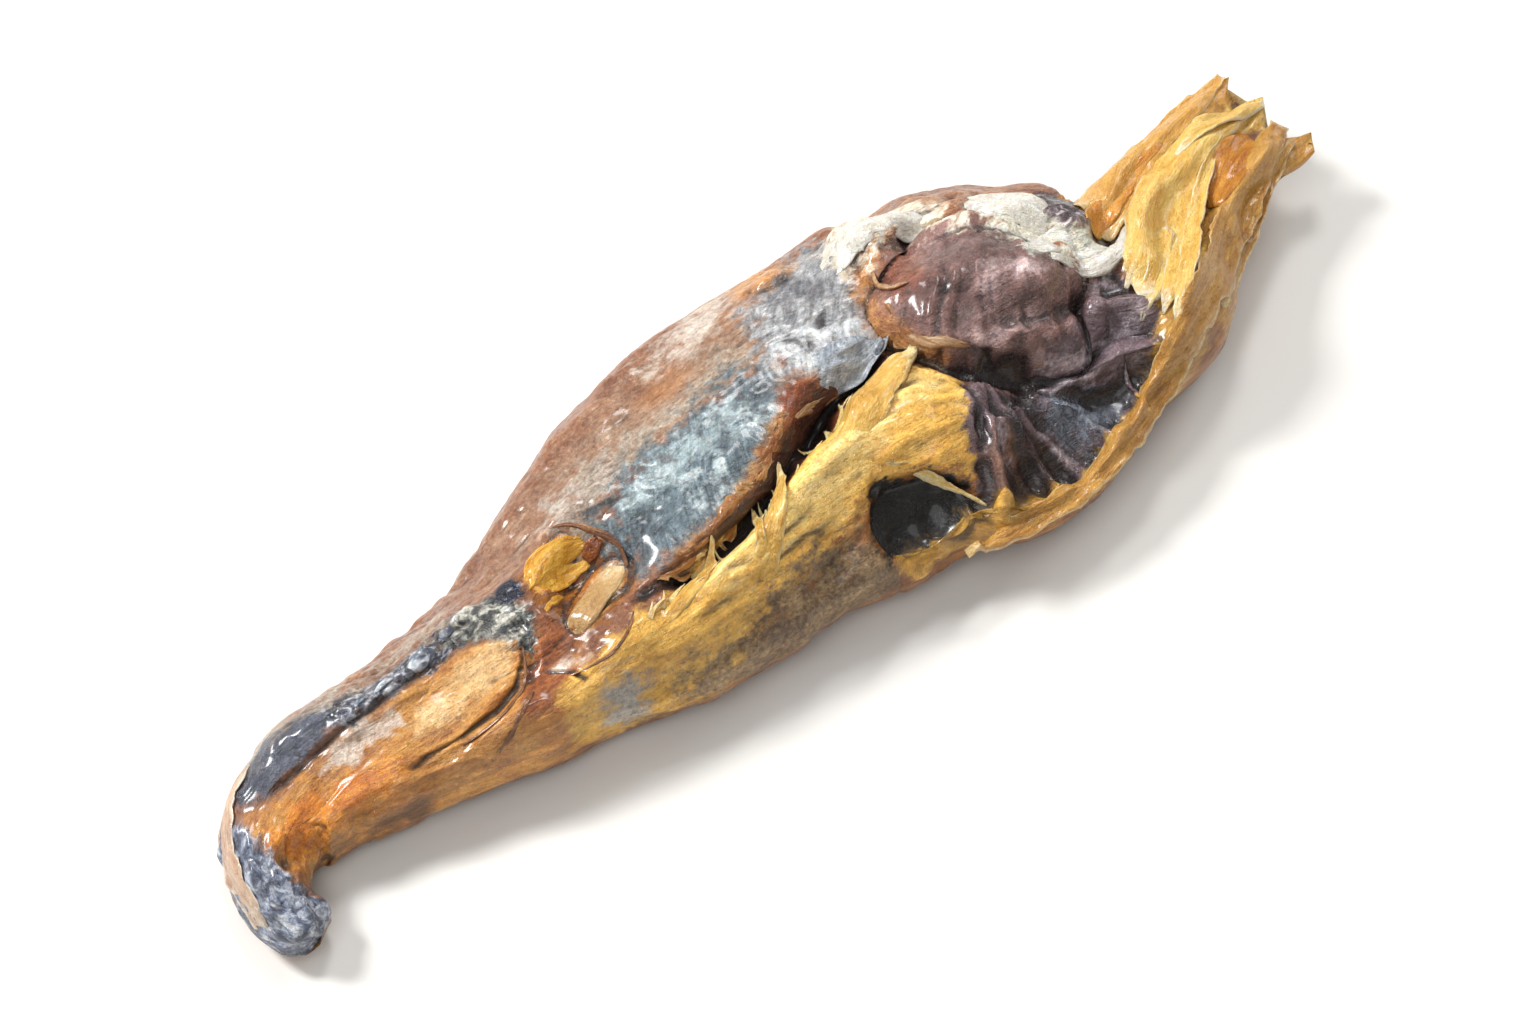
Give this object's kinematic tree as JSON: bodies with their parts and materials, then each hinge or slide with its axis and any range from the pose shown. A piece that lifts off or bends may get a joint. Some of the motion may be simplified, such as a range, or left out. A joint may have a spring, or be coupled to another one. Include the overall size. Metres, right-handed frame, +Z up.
{
  "type": "dried fish",
  "caption": "Small headless dried fish lying on its side, torn belly up, with shrunken innards and a ragged fan of flesh at the neck.",
  "frame": {"origin": "middle of the outline seen from above, on the floor the fish lies on", "axes": "+X from the tail stub to the torn neck, +Y towards the fish's back, +Z up from the side it lies on to the torn side"},
  "size_m": [0.1334, 0.0414, 0.0176],
  "materials": {
    "dried_fish": "dried skin and flesh, golden brown to near black, satin with small oily glints"
  },
  "bodies": {
    "root": {"dried_fish": "dried_fish"}
  },
  "joints": []
}
